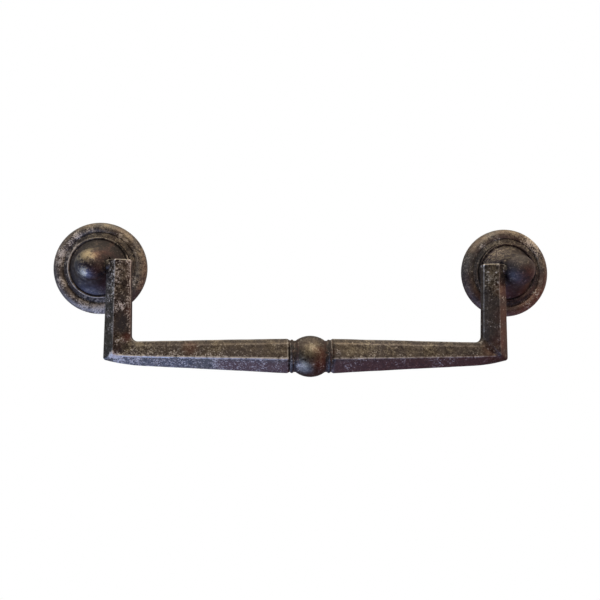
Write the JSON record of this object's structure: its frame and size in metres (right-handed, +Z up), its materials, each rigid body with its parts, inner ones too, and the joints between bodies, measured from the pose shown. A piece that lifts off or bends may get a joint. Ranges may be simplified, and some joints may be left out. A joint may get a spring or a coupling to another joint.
{
  "type": "bail handle",
  "caption": "Drawer bail handle: a faceted cast bail with a ball at mid span swings on turned posts with round rosettes and threaded stems.",
  "frame": {"origin": "on the drawer's face, midway between the two posts, at the height of the bail's pivot", "axes": "+X along the handle to the right seen from the front, +Y into the drawer front, +Z up"},
  "size_m": [0.1562, 0.0427, 0.0466],
  "materials": {
    "rosette_patina": "turned brass, darkened to brown and black, with worn pale patches",
    "post_patina": "turned brass under a dark brown patina, bright where it is rubbed",
    "bail_patina": "cast and filed brass under a dark patina, worn along its edges",
    "fastener_brass": "plain turned brass, dull with age"
  },
  "bodies": {
    "fixed": {"rosette_left": "rosette_patina", "rosette_right": "rosette_patina", "post_left": "post_patina", "post_right": "post_patina", "washer_left": "fastener_brass", "washer_right": "fastener_brass", "nut_left": "fastener_brass", "nut_right": "fastener_brass"},
    "swinging_bail": {"bail": "bail_patina"}
  },
  "joints": [
    {"name": "bail_swing", "type": "hinge", "parent": "fixed", "child": "swinging_bail", "pos_m": [0, -0.012, 0], "axis": [-1, 0, 0], "range_deg": [-12, 192]}
  ]
}
